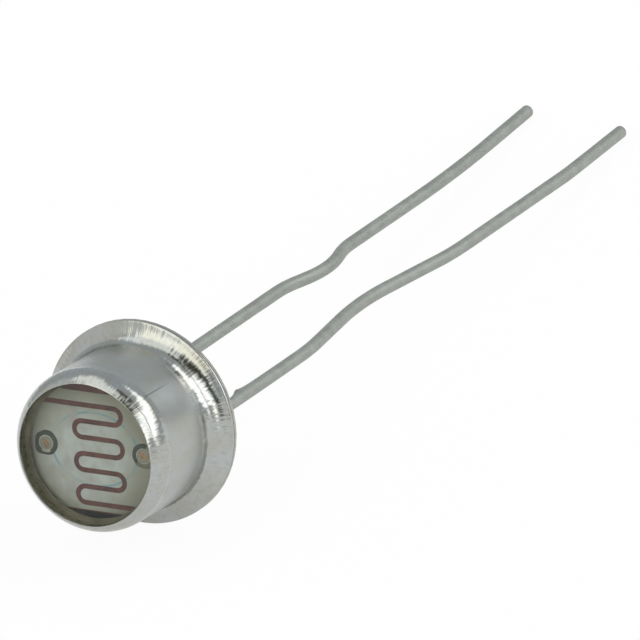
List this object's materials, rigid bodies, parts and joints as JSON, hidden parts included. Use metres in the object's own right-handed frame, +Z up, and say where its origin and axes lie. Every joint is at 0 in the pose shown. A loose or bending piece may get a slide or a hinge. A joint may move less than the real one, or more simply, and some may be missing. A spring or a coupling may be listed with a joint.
{
  "type": "photoresistor",
  "caption": "Photoresistor in a brimmed metal can: a glass window shows a serpentine light sensitive track, and long tinned wire leads leave the back. It lies as it comes to rest.",
  "frame": {"origin": "on the surface that the part lies on, under the middle of its box", "axes": "+Z up, -Y the way the window looks, +Y the way the leads leave; the optical axis rises about 8 degrees towards the window, because the part lies on its brim and lead tips"},
  "size_m": [0.0066, 0.0338, 0.0066],
  "materials": {
    "cap_metal": "satin nickel plate on drawn steel",
    "header_metal": "matt plate on drawn iron alloy",
    "lead_tin": "dull tin on copper wire",
    "window_glass": "clear and polished",
    "seal_glass": "dark fired sealing glass",
    "header_glass": "dark fired header glass",
    "ceramic": "matt pressed ceramic",
    "cds_layer": "matt sintered layer",
    "electrode_film": "dull evaporated metal film",
    "contact_paste": "dark conductive adhesive"
  },
  "bodies": {
    "root": {"cap": "cap_metal", "window": "window_glass", "window_seal": "seal_glass", "eyelet": "header_metal", "header_glass": "header_glass", "substrate": "ceramic", "cds_layer": "cds_layer", "electrode_left": "electrode_film", "electrode_right": "electrode_film", "contact_left": "contact_paste", "contact_right": "contact_paste", "lead_left": "lead_tin", "lead_right": "lead_tin"}
  },
  "joints": []
}
